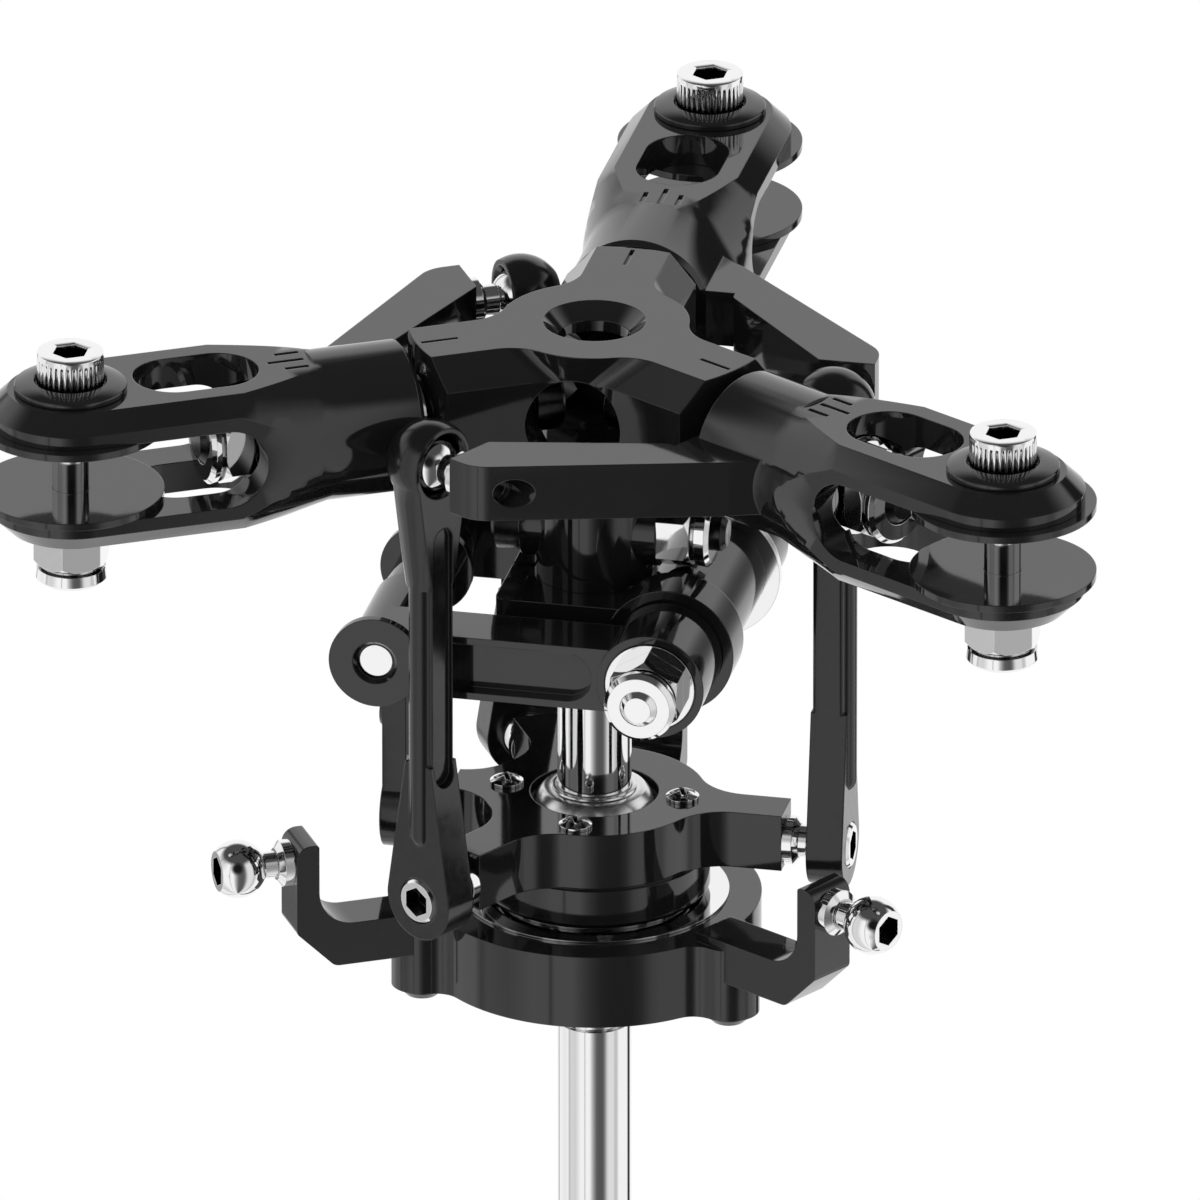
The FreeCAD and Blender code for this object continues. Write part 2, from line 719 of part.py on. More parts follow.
def pitch_link():
    """A moulded link, drawn about its upper ball: x towards its own grip, y towards the shaft."""
    half, low = v.link_half_width, -link_length
    skull, socket = sphere(v.link_head_radius), sphere(v.ball_radius + v.socket_gap)
    skull.Placement = socket.Placement = at(along=(1, 0, 0))
    head = common(skull, box(-v.link_head_flat, half, -5, 5, -5, 5))
    neck_top = 1.0
    neck = turned([(neck_top, 0), (neck_top, v.link_head_radius - 0.3),
                   (v.link_neck_drop, v.link_neck_radius), (v.link_neck_drop, 0)],
                  facing(along=(0, 0, -1)))
    neck = common(neck, box(-half, half, -5, 5, low, 0))
    blade = rounded_wire([(-half, -1.2, 0.4), (half, -1.2, 0.4), (half, 1.4, 0.5),
                          (-half, 1.4, 0.5)], low + 3)
    bar = prism(blade, link_length - 3 - v.link_head_radius)
    rib_low, rib_high = low + 5.8, -v.link_neck_drop + 0.3
    rib = rod(v.rib_radius, rib_high - rib_low, at(0, -v.rib_offset, rib_low))
    rib_end = sphere(v.rib_radius, 0, -v.rib_offset, rib_low)
    foot = rod(v.link_foot_radius, v.link_foot_half * 2, at(0, v.link_foot_half, low, (0, -1, 0)))
    web = loft_web(low)
    floor = half - 0.45
    recess = box(floor, half + 1, -v.recess_half, v.recess_half, -v.recess_low, -v.recess_top)
    recess_ends = [rod(v.recess_half, 2, at(floor, 0, -drop, (1, 0, 0)))
                   for drop in (v.recess_top, v.recess_low)]
    mouth = turned([(half - 0.7, 0), (half - 0.7, v.ball_radius), (half, v.ball_radius + 0.4),
                    (half + 1, v.ball_radius + 0.4), (half + 1, 0)])
    eye = sphere(v.ball_radius + v.run_gap, 0, 0, low)
    cup = cut(fuse(head, neck), socket, mouth)
    return cut(fuse(cup, bar, rib, rib_end, foot, web), recess, *recess_ends, eye)


def loft_web(low):
    """The taper from the link's bar down to its lower eye, as a flat tangent wedge."""
    narrow, wide = v.link_half_width - 0.05, v.link_foot_radius - 0.04
    wire = rounded_wire([(-narrow, v.foot_taper, 0), (narrow, v.foot_taper, 0),
                         (wide, 0.5, 0), (-wide, 0.5, 0)])
    web = prism(wire, v.link_foot_half * 2)
    web.Placement = Placement(Vector(0, float(v.link_foot_half), float(low)),
                              Rotation(Vector(1, 0, 0), 90))
    return web


def blade_bolt():
    top = v.clevis_half_height + v.washer_floor
    return cap_screw(v.blade_head_radius, v.blade_head_height, v.screw_radius,
                     top + v.clevis_half_height + v.plate_height + v.nut_height + v.nut_collar + 0.5,
                     facing(v.bolt_reach, 0, top, (0, 0, -1)))


def cup_washer():
    low = v.clevis_half_height
    high = low + v.washer_height
    bore = v.screw_radius + v.snug_gap
    return turned([(low, bore), (low, v.washer_radius), (high - 0.5, v.washer_radius),
                   (high, v.washer_radius - 0.5), (high, v.washer_well),
                   (low + v.washer_floor, v.washer_well), (low + v.washer_floor, bore)],
                  facing(v.bolt_reach, along=(0, 0, 1)))


def blade_spacers():
    bore = v.screw_radius + v.snug_gap
    parts = []
    for low in (v.ear_gap_half - v.spacer_height, -v.ear_gap_half):
        parts.append(turned([(low, bore), (low, v.spacer_radius),
                             (low + v.spacer_height, v.spacer_radius),
                             (low + v.spacer_height, bore)],
                            facing(v.bolt_reach, along=(0, 0, 1))))
    return group(*parts)


def blade_nut():
    seat = -v.clevis_half_height
    bore = v.screw_radius + v.snug_gap
    plate = turned([(0, bore), (0, v.plate_radius), (v.plate_height, v.plate_radius),
                    (v.plate_height, bore)], facing(v.bolt_reach, 0, seat, (0, 0, -1)))
    nut = lock_nut(v.nut_flats_half, v.nut_height, v.nut_collar, bore,
                   facing(v.bolt_reach, 0, seat - v.plate_height, (0, 0, -1)))
    return plate, nut


def arm_pieces():
    plate, nut = blade_nut()
    made = {"spindle": spindle(), "grip": grip(), "grip_bearings": grip_bearings(),
            "pitch_ball": pitch_ball(), "blade_bolt": blade_bolt(), "cup_washer": cup_washer(),
            "blade_spacers": blade_spacers(), "blade_nut": group(plate, nut)}
    for number, angle in enumerate(ARM_ANGLES, 1):
        for name, piece in made.items():
            node("%s_%d" % (name, number), placed(piece, around(angle, axis_z)))
        here = around(angle, axis_z) * Placement(Vector(0, -float(v.link_radius), 0), Rotation())
        if number == 1:
            link = pitch_link()
        node("pitch_link_%d" % number, placed(link, here))
    node("spindle_spacers", repeated(spindle_spacers(), ARM_ANGLES, axis_z))
    nut = lock_nut(v.spindle_nut_flats, v.spindle_nut_height - 1.2, 1.2,
                   v.spindle_radius + v.snug_gap, facing(nut_seat))
    node("spindle_nuts", repeated(nut, ARM_ANGLES, axis_z))


def along_y(radius, start, end, x, z):
    return rod(radius, size_of(end) - start, at(x, start, z, (0, 1, 0)))


def driver_base():
    top = v.hub_top - v.hub_height - v.collar_height
    low = top - v.base_height
    z = v.hub_top - v.hinge_drop
    half = v.base_half_depth
    block = prism(rounded_wire([(-v.base_back, -half, 0.8), (v.hinge_x - 2, -half, 0),
                                (v.hinge_x - 2, half, 0), (-v.base_back, half, 0.8)], low),
                  v.base_height)
    boss = along_y(v.hinge_boss_radius, -v.base_front, v.base_rear, v.hinge_x, z)
    flange = along_y(v.hinge_flange_radius, -v.base_front, -v.base_front + 3.9, v.hinge_x, z)
    clear = rod(v.collar_radius + 0.3, 10, at(z=top))
    bore = rod(v.shaft_radius + v.snug_gap, v.base_height + 8, at(z=low - 4))
    hinge = along_y(v.screw_radius + v.run_gap, -v.base_front - 2, v.base_rear + 2, v.hinge_x, z)
    split = box(-v.base_back - 1, 0, -v.split_half, v.split_half, low - 1, top + 1)
    pinch_z = low + v.base_height / 2
    pinch = along_y(1.0 + v.snug_gap, -half - 2, half + 2, -v.pinch_x, pinch_z)
    well = along_y(2.0, -half - 1, -half + 2.2, -v.pinch_x, pinch_z)
    node("driver_base", cut(fuse(block, boss, flange), clear, bore, hinge, split, pinch, well))
    node("driver_clamp_screw", cap_screw(1.9, 2.0, size_of(1.0), half * 2 - 3.2,
                                         facing(-v.pinch_x, -half + 2.2, pinch_z, (0, 1, 0)),
                                         key_half=0.9))


def scissor_arms():
    z = v.hub_top - v.hinge_drop
    low, high = z - v.beam_half_height, z + v.beam_half_height
    bolt = along_y(v.screw_radius + v.snug_gap, -through, through, v.hinge_x, z)
    seat = along_y(v.tube_radius, -through, through, -v.elbow_x, z)
    beam = box(-v.elbow_x, v.hinge_x, -v.front_beam_outer, -v.front_beam_inner, low, high)
    near = along_y(v.hinge_boss_radius, -v.front_beam_outer - 0.5, -v.front_beam_inner + 1.3,
                   v.hinge_x, z)
    far = along_y(v.beam_half_height, -v.front_beam_outer + 0.3, -v.eye_front - 0.1,
                  -v.elbow_x, z)
    pocket = box(-v.elbow_x + 3.3, v.hinge_x - 7.0, -v.front_beam_outer - 1,
                 -v.front_beam_outer + 1.2, z - 2.1, z + 2.1)
    pocket_end = along_y(2.1, -v.front_beam_outer - 1, -v.front_beam_outer + 1.2,
                         v.hinge_x - 7.0, z)
    well = along_y(3.75, -v.front_beam_outer - 1, -v.front_beam_outer, v.hinge_x, z)
    flange_seat = along_y(v.tube_flange + v.snug_gap, -v.front_beam_outer - 1,
                          -v.front_beam_outer + 0.3, -v.elbow_x, z)
    node("scissor_arm_front", cut(fuse(beam, near, far), bolt, seat, pocket, pocket_end, well,
                                  flange_seat))
    beam = box(-v.elbow_x, v.hinge_x, v.rear_beam_inner, v.rear_beam_outer, low, high)
    near = along_y(v.rear_barrel_radius, v.rear_beam_inner, v.rear_barrel_end, v.hinge_x, z)
    far = along_y(v.beam_half_height, v.eye_rear + 1.0, v.rear_beam_outer, -v.elbow_x, z)
    node("scissor_arm_rear", cut(fuse(beam, near, far), bolt, seat))
    tube = along_y(v.tube_radius, -v.front_beam_outer - 0.5, v.rear_beam_outer + 0.9,
                   -v.elbow_x, z)
    front = along_y(v.tube_flange, -v.front_beam_outer - 0.5, -v.front_beam_outer + 0.3,
                    -v.elbow_x, z)
    hole = along_y(v.tube_bore, -through, through, -v.elbow_x, z)
    face = -v.front_beam_outer - 0.5
    mouth = turned([(-1, 0), (-1, v.tube_mouth), (0, v.tube_mouth), (0.35, v.tube_bore),
                    (0.35, 0)], facing(-v.elbow_x, face, z, (0, 1, 0)))
    node("hinge_tube", cut(fuse(tube, front), hole, mouth))
    first, last = face + v.tube_pin_step, v.rear_beam_outer + 0.9 - v.tube_pin_step
    radius = v.tube_bore - v.snug_gap
    pin = turned([(0, 0), (0, radius - 0.2), (0.2, radius), (last - first - 0.2, radius),
                  (last - first, radius - 0.2), (last - first, 0)],
                 facing(-v.elbow_x, first, z, (0, 1, 0)))
    node("elbow_pin", pin)
    rings = []
    for start, end, radius in ((v.eye_rear + 0.1, v.eye_rear + 0.9, v.tube_flange),
                               (v.rear_beam_outer, v.rear_beam_outer + 0.8, size_of(3.0))):
        rings.append(cut(along_y(radius, start, end, -v.elbow_x, z),
                         along_y(v.tube_radius + v.snug_gap, -through, through, -v.elbow_x, z)))
    node("hinge_tube_rings", group(*rings))
    head = v.rear_barrel_end + 0.5
    front = v.front_beam_outer
    node("hinge_bolt", cap_screw(v.screw_head_radius, 3.0, v.screw_radius,
                                 head + front + 0.6 + v.nut_height + v.nut_collar + 0.4,
                                 facing(v.hinge_x, head, z, (0, -1, 0))))
    washers = []
    for start, end, radius in ((-front - 0.6, -front, 3.65), (v.rear_barrel_end, head, 3.65),
                               (v.base_rear + 0.1, v.rear_beam_inner - 0.1, 5.6)):
        washers.append(cut(along_y(radius, start, end, v.hinge_x, z),
                           along_y(v.screw_radius + v.snug_gap, -through, through, v.hinge_x, z)))
    node("hinge_washers", group(*washers))
    node("hinge_nut", lock_nut(v.nut_flats_half, v.nut_height, v.nut_collar,
                               v.screw_radius + v.snug_gap,
                               facing(v.hinge_x, -front - 0.6, z, (0, -1, 0))))


def scissor_link():
    z = v.hub_top - v.hinge_drop
    x = -v.elbow_x
    ball_z = v.hub_top - ball_drop
    face, half = -v.strap_face, v.strap_half
    eye = along_y(v.eye_radius, -v.eye_front, v.eye_rear, x, z)
    strap = box(face, face + 2.0, -half, half, ball_z + 5.6, z)
    tube = along_y(v.tube_radius + v.run_gap, -through, through, x, z)
    screw_z = z - 10.5
    hole = rod(0.8 + v.snug_gap, 12, at(-20, 0, screw_z, (1, 0, 0)))
    node("scissor_strap", cut(fuse(eye, strap), tube, hole))
    ball_x = -v.driver_ball_x - v.elbow_swing
    tongue = box(face - 2.0, face, -half, half, ball_z + 1.0, screw_z + 2.2)
    ring_part = rod(3.0 + v.socket_gap, 2.8, at(ball_x - 1.4, 0, ball_z, (1, 0, 0)))
    socket = sphere(v.ball_radius + v.socket_gap, ball_x, 0, ball_z)
    node("scissor_ball_end", cut(fuse(tongue, ring_part), socket, hole))
    node("scissor_screw", cap_screw(1.5, 0.5, size_of(0.8), 4.0, facing(face - 2.0, 0, screw_z),
                                    key_half=0.7))
    place = facing(-v.driver_arm_reach, 0, ball_z, (-1, 0, 0))
    node("driver_ball", ball_stud(1.0, 3.0, v.driver_ball_x - v.driver_arm_reach, v.ball_flange,
                                  v.ball_neck - 0.15, place))


def lift(z0, z1, inner, outer):
    """A ring about the shaft between two heights."""
    return turned([(z0, inner), (z0, outer), (z1, outer), (z1, inner)], facing(along=(0, 0, 1)))


def swash_star():
    top = v.hub_top - v.star_top_drop
    low = top - v.star_arm_depth
    shoulder = v.hub_top - bearing_drop
    ball_z = v.hub_top - ball_drop
    spigot = shoulder - v.ring_bearing_height - 0.8
    disc = rod(v.star_radius, v.star_arm_depth, at(z=low))
    skirt = turned([(shoulder, 0), (shoulder, v.star_skirt_radius - 0.5),
                    (shoulder + 0.5, v.star_skirt_radius), (low, v.star_skirt_radius), (low, 0)],
                   facing(along=(0, 0, 1)))
    hub = rod(v.ring_bearing_bore - v.snug_gap, low - spigot, at(z=spigot))
    arms = []
    for angle in LINK_ANGLES:
        arm = filleted_arm(v.star_arm_half, v.star_arm_reach, v.star_radius, v.star_fillet,
                           low, v.star_arm_depth)
        arms.append(placed(arm, around(angle)))
    arm = filleted_arm(v.star_arm_half, v.driver_arm_reach, v.star_radius, v.star_fillet,
                       low, v.star_arm_depth)
    arms.append(placed(arm, around(180)))
    tools = [rod(v.star_hole, 4, at(z=top - 2))]
    race_top = top - v.race_lip
    tools.append(rod(v.race_radius + v.snug_gap, through, at(z=race_top - through)))
    race_low = race_top - v.race_height
    groove = lift(race_low - v.circlip_height, race_low, v.race_bore, v.race_radius + 0.6)
    tools.append(groove)
    for angle in (0, 90, 180, 270):
        x = v.star_screw_circle * math.cos(math.radians(angle))
        y = v.star_screw_circle * math.sin(math.radians(angle))
        tools.append(rod(0.7, 3.2, at(x, y, top - 3.1)))
    for angle, reach in [(a, v.star_arm_reach) for a in LINK_ANGLES] + [(180, v.driver_arm_reach)]:
        bore = rod(v.ball_shank, 6, at(reach - 3.0, 0, ball_z, (1, 0, 0)))
        tools.append(placed(bore, around(angle)))
    node("swash_star", cut(fuse(disc, skirt, hub, *arms), *tools))
    snap = lift(race_low - v.circlip_height, race_low, v.race_radius - v.circlip_width,
                v.race_radius + 0.5)
    node("race_circlip", cut(snap, box(0, v.race_radius + 1, -v.circlip_gap_half,
                                       v.circlip_gap_half, race_low - v.circlip_height - 1,
                                       race_low + 1)))
    centre = race_top - v.race_height / 2
    race = lift(race_low, race_top, v.race_bore, v.race_radius)
    node("uniball_race", cut(race, sphere(v.uniball_radius + v.run_gap, z=centre)))
    ball = common(sphere(v.uniball_radius, z=centre),
                  rod(v.uniball_radius + 1, v.uniball_half * 2, at(z=centre - v.uniball_half)))
    reach = v.uniball_half + v.uniball_sleeve
    sleeve = rod(v.shaft_radius + v.uniball_wall, reach * 2, at(z=centre - reach))
    node("uniball", cut(fuse(ball, sleeve),
                        rod(v.shaft_radius + v.run_gap, reach * 4, at(z=centre - reach * 2))))
    screws = []
    for angle in (0, 90, 180, 270):
        x = v.star_screw_circle * math.cos(math.radians(angle))
        y = v.star_screw_circle * math.sin(math.radians(angle))
        screws.append(turned([(-v.star_screw_rise, 0), (-v.star_screw_rise, v.star_screw_head - 0.5),
                              (-0.3, v.star_screw_head), (0, v.star_screw_head), (0, 0.7),
                              (3.0, 0.7), (3.0, 0)], facing(x, y, top, (0, 0, -1))))
    node("star_screws", group(*screws))
    stud = ball_stud(1.2, 2.8, v.link_radius - v.star_arm_reach, v.ball_flange,
                     v.ball_neck + 0.1, facing(v.star_arm_reach, 0, ball_z))
    node("link_ball_bolts", repeated(stud, LINK_ANGLES))


def swash_bearing():
    high = v.hub_top - bearing_drop
    low = high - v.ring_bearing_height
    middle = (high + low) / 2
    track = v.ring_bearing_inner + v.ring_ball_radius - 0.05
    groove = doc.addObject("Part::Torus", "Track")
    bind(groove, "Radius1", track)
    bind(groove, "Radius2", v.ring_ball_radius + 0.02)
    groove.Placement = at(z=middle)
    inner = lift(low, high, v.ring_bearing_bore, v.ring_bearing_inner)
    wall, shell = track + v.ring_ball_radius - 0.05, v.ring_bearing_outer - v.snug_gap
    top = high - v.ring_shield_drop
    outer = turned([(low, wall), (low, shell), (top, shell), (top, v.ring_bearing_inner + 0.2),
                    (top - 0.35, v.ring_bearing_inner + 0.2), (top - 0.35, wall)],
                   facing(along=(0, 0, 1)))
    node("swash_bearing_inner", cut(inner, groove))
    node("swash_bearing_outer", cut(outer, groove))
    balls = []
    for number in range(SWASH_BALLS):
        turn = 2 * math.pi * number / SWASH_BALLS
        balls.append(sphere(v.ring_ball_radius, track * math.cos(turn), track * math.sin(turn), middle))
    node("swash_bearing_balls", group(*balls))
    node("swash_retainer", lift(low - 0.7, low, v.ring_bearing_bore, v.ring_bearing_inner - 0.3))


def swash_ring():
    top = v.hub_top - ring_drop
    low = top - v.ring_height
    ledge = v.hub_top - bearing_drop - v.ring_bearing_height
    arm_top = v.hub_top - servo_arm_drop
    arm_low = arm_top - v.servo_arm_depth
    tall = v.hub_top - servo_top_drop
    ball_z = v.hub_top - ball_drop
    face, inner = v.servo_face, v.servo_face - v.servo_upright
    solids = [rod(v.ring_radius, v.ring_height, at(z=low))]
    tools = [rod(v.ring_bearing_outer, v.ring_height * 2, at(z=ledge)),
             rod(v.ring_bearing_outer - 0.8, v.ring_height * 2, at(z=low - 1))]
    root = v.ring_radius - 0.6
    profile = rounded_wire([(root, arm_low, 0), (face - 3.2, arm_low, 1.0),
                            (face, arm_low + 3.2, 0.6), (face, tall, 1.2), (inner, tall, 0.3),
                            (inner, arm_top, 3.0), (root, arm_top, 0)])
    arm = prism(profile, v.servo_arm_half * 2)
    arm.Placement = Placement(Vector(0, float(v.servo_arm_half), 0), Rotation(Vector(1, 0, 0), 90))
    lobe = fuse(rod(v.lobe_radius, v.ring_height, at(v.lobe_reach, 0, low)),
                filleted_arm(v.lobe_radius, v.lobe_reach, v.ring_radius, v.lobe_fillet,
                             low, v.ring_height))
    hole = rod(1.0, 3.1, at(v.lobe_reach, 0, low - 0.1))
    shank = rod(v.ball_shank, 6, at(inner - 1, 0, ball_z, (1, 0, 0)))
    for angle in ARM_ANGLES:
        solids.append(placed(fuse(arm, lobe), around(angle)))
        tools.append(placed(fuse(hole, shank), around(angle)))
    node("swash_ring", cut(fuse(*solids), *tools))
    screw = turned([(-0.9, 0), (-0.9, 1.3), (-0.3, 1.9), (0, 1.9), (0, 1.0), (2.9, 1.0), (2.9, 0)],
                   facing(v.lobe_reach, 0, low, (0, 0, 1)))
    node("ring_screws", repeated(screw, ARM_ANGLES))
    stud = ball_stud(1.2, v.servo_upright, v.servo_ball_reach - face, v.ball_flange - 0.1,
                     v.ball_neck - 0.15, facing(face, 0, ball_z))
    node("servo_balls", repeated(stud, ARM_ANGLES))


def check_all():
    for thing in doc.Objects:
        if "Invalid" in thing.State or "Error" in thing.State:
            raise RuntimeError("%s (%s) did not recompute" % (thing.Name, thing.TypeId))
    for part in nodes:
        if part.Shape.isNull() or not part.Shape.isValid() or not part.Shape.Solids:
            raise RuntimeError(part.Label + " has no valid solid")


def export_all():
    os.makedirs("parts", exist_ok=True)
    for part in nodes:
        solids = part.Shape.Solids
        shape = solids[0] if len(solids) == 1 else Part.makeCompound(solids)
        shape.exportStep("parts/" + part.Label + ".step")
        print("%-22s %2d solids %9.2f mm3" % (part.Label, len(solids), shape.Volume))


node("main_shaft", main_shaft())
node("hub_block", hub_block())
hub_fasteners()
arm_pieces()
driver_base()
scissor_arms()
scissor_link()
swash_star()
swash_bearing()
swash_ring()
doc.recompute()
check_all()
export_all()
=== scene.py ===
import json
import math

import bpy
import numpy as np
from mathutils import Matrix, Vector


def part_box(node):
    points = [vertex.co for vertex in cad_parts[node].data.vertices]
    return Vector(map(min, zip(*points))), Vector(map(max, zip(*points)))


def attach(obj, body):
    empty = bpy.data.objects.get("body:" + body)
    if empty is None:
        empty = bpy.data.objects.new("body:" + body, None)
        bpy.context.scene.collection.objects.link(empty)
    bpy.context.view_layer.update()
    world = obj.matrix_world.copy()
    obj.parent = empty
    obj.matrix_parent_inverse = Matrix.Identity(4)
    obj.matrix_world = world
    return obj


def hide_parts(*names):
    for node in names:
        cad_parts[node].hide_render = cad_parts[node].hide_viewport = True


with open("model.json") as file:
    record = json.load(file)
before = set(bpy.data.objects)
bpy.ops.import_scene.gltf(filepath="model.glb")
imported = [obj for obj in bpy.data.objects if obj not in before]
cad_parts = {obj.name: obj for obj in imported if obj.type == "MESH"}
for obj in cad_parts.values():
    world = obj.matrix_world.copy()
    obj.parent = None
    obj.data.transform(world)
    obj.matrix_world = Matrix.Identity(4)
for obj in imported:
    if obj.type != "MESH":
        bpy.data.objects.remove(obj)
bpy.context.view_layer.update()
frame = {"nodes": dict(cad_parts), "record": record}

bl_info = {
    "name": "Rotor hub finish",
    "version": (1, 0, 0),
    "blender": (4, 5, 0),
    "location": "View3D > Sidebar > Rotor hub",
    "description": "Finishes and fine fasteners of a three-blade model rotor hub",
    "category": "Object",
}

MM = 0.001
NODES = frame["nodes"]
ARM_ANGLES = (-30, 90, 210)
ARM_NUMBERS = (1, 2, 3)
STAR_SCREW_ANGLES = (0, 90, 180, 270)
CROSS_TURN = 22
# Most of a noise texture's values lie between these two
NOISE_LOW, NOISE_HIGH = 0.3, 0.7
# How far the edges of bright steel and of mouldings are eased, against those of the aluminium
STEEL_EDGE, MOULDED_EDGE = 0.6, 1.6
# Points round a turned piece
ROUND_COLUMNS = 128
# The photograph: its width, where the hub's top centre is, and the direction it was taken from
PHOTO_PX = 1200
HUB_TOP_PX = (594.5, 320.6)
CAMERA_TURN, CAMERA_RISE = 12.26, 23.8
# The studio round the object: a compass direction in degrees from +X, and how white it is there
STUDIO_STRIPS = ((-180, 0.9), (-169, 1.0), (-163, 0.5), (-157, 0.75), (-140, 0.7), (-130, 0.85),
                 (-122, 1.0), (-110, 1.0), (-108, 0.3), (-106, 1.0), (-93, 1.0), (-88, 0.7),
                 (-82, 0.4), (-73, 0.14), (-65, 0.1), (-52, 0.1), (-45, 0.25), (-38, 0.65),
                 (-32, 0.8), (-16, 0.8), (-12, 0.6), (-4, 0.6), (4, 1.0), (44, 1.0), (50, 0.03),
                 (62, 0.03), (68, 1.0), (130, 1.0), (136, 0.25), (144, 1.0), (180, 0.9))
OVERHEAD_GREY, CAMERA_STAND_GREY = 0.07, 0.01
SOFT_LIGHT = 0.6
# Each lamp: its name, its place and side in metres, and its watts
LAMPS = (("key_lamp", (-0.35, -0.45, 0.75), 0.35, 3.0),
         ("right_lamp", (0.75, -0.2, 0.25), 0.3, 1.5),
         ("left_lamp", (-0.75, 0.1, 0.2), 0.3, 1.5))
LAMP_TARGET = Vector((0, 0, 0.06))


# Colours and shader nodes


def linear(code):
    """An sRGB hex colour as linear red, green, blue and alpha."""
    values = [int(code[i:i + 2], 16) / 255 for i in (1, 3, 5)]
    return [c / 12.92 if c <= 0.04045 else ((c + 0.055) / 1.055) ** 2.4 for c in values] + [1.0]


def add_node(tree, kind, settings=None, inputs=None, links=None):
    """One node with its settings, its sockets' values and its links from (node, socket)."""
    made = tree.nodes.new(kind)
    for field, value in (settings or {}).items():
        setattr(made, field, value)
    for socket, value in (inputs or {}).items():
        made.inputs[socket].default_value = value
    for socket, (source, output) in (links or {}).items():
        tree.links.new(source.outputs[output], made.inputs[socket])
    return made


def new_material(name):
    """An empty material and its node tree."""
    material = bpy.data.materials.new(name)
    material.use_nodes = True
    material.node_tree.nodes.clear()
    return material, material.node_tree


def finish_surface(tree, inputs, links):
    """The closing shader of a material."""
    shader = add_node(tree, "ShaderNodeBsdfPrincipled", inputs=inputs, links=links)
    add_node(tree, "ShaderNodeOutputMaterial", links={"Surface": (shader, "BSDF")})


def eased_edges(tree, radius_mm, bump=None):
    """The surface normal with its machined edges eased by a radius."""
    links = {"Normal": (bump, "Normal")} if bump else None
    return add_node(tree, "ShaderNodeBevel", {"samples": 6}, {"Radius": radius_mm * MM}, links)


def object_noise(tree, size_mm, detail=2.0, stretch=(1, 1, 1)):
    """Noise whose features are about one size wide, in the piece's own space."""
    place = add_node(tree, "ShaderNodeTexCoord")
    mapping = add_node(tree, "ShaderNodeMapping", inputs={"Scale": stretch},
                       links={"Vector": (place, "Object")})
    return add_node(tree, "ShaderNodeTexNoise", inputs={"Scale": 1 / (size_mm * MM), "Detail": detail},
                    links={"Vector": (mapping, "Vector")})


def ramp(tree, source, low, high, start=NOISE_LOW, end=NOISE_HIGH):
    """A noise, or another value between start and end, turned to the range from low to high."""
    return add_node(tree, "ShaderNodeMapRange",
                    inputs={"From Min": start, "From Max": end, "To Min": low, "To Max": high},
                    links={"Value": source})


def black_anodised_aluminium(look):
    """Machined aluminium under a deep, glossy black anodic film: a sealed film gives a clear,
    even reflection, and the cutter's fine lines only just soften it."""
    material, tree = new_material("black_anodised_aluminium")
    grain = object_noise(tree, look.cutter_line_mm, detail=3.0, stretch=(1, 1, 4))
    blotch = object_noise(tree, look.film_blotch_mm)
    rough = ramp(tree, (grain, "Fac"), low=look.film_roughness * 0.75, high=look.film_roughness * 1.25)
    dark = linear(look.film_hex)
    blotch_gain = 1.45
    lighter = [c * blotch_gain for c in dark[:3]] + [1.0]
    colour = add_node(tree, "ShaderNodeMix", {"data_type": "RGBA"}, links={"Factor": (blotch, "Fac")})
    colour.inputs["A"].default_value = dark
    colour.inputs["B"].default_value = lighter
    bump = add_node(tree, "ShaderNodeBump", inputs={"Strength": 0.03, "Distance": 0.01 * MM},
                    links={"Height": (grain, "Fac")})
    normal = eased_edges(tree, look.edge_radius_mm, bump)
    finish_surface(tree, {"Metallic": 0.0, "IOR": look.film_ior, "Specular IOR Level": 0.5},
                   {"Base Color": (colour, "Result"), "Roughness": (rough, "Result"),
                    "Normal": (normal, "Normal")})
    return material


def moulded_nylon(look):
    """Glass-filled nylon from a polished mould: a slightly orange-peeled black gloss."""
    material, tree = new_material("moulded_black_nylon")
    peel = object_noise(tree, look.mould_peel_mm)
    rough = ramp(tree, (peel, "Fac"), low=look.mould_roughness * 0.8, high=look.mould_roughness * 1.2)
    bump = add_node(tree, "ShaderNodeBump", inputs={"Strength": 0.12, "Distance": 0.02 * MM},
                    links={"Height": (peel, "Fac")})
    normal = eased_edges(tree, look.edge_radius_mm * MOULDED_EDGE, bump)
    finish_surface(tree, {"Base Color": linear(look.nylon_hex), "IOR": 1.53},
                   {"Roughness": (rough, "Result"), "Normal": (normal, "Normal")})
    return material


def painted_socket_shade(tree, metal, look):
    """A metal's colour with painted shade: it is darkened where the piece shuts itself in, in key sockets
    and in the roots of threads and flutes."""
    shut = add_node(tree, "ShaderNodeAmbientOcclusion", {"samples": 6, "only_local": True},
                    {"Distance": look.socket_shade_mm * MM})
    open_share = ramp(tree, (shut, "AO"), low=0.0, high=1.0, start=0.25, end=0.6)
    # Painted shade: the more shut in a point is, the nearer its colour comes to the dark shade colour
    colour = add_node(tree, "ShaderNodeMix", {"data_type": "RGBA"},
                      links={"Factor": (open_share, "Result")})
    colour.inputs["A"].default_value = linear(look.painted_shade_hex)
    colour.inputs["B"].default_value = metal
    return colour


def chromed_steel(look):
    """Turned steel with a bright chrome plate: a mirror with faint rings from the lathe."""
    material, tree = new_material("chromed_steel")
    haze = object_noise(tree, size_mm=0.6, detail=3.0)
    rough = ramp(tree, (haze, "Fac"), low=0.03, high=0.08, start=0.35)
    normal = eased_edges(tree, look.edge_radius_mm * STEEL_EDGE)
    # The plate's colour carries painted shade in key sockets and in the roots of flutes
    colour = painted_socket_shade(tree, linear(look.chrome_hex), look)
    finish_surface(tree, {"Metallic": 1.0},
                   {"Base Color": (colour, "Result"), "Roughness": (rough, "Result"),
                    "Normal": (normal, "Normal")})
    return material


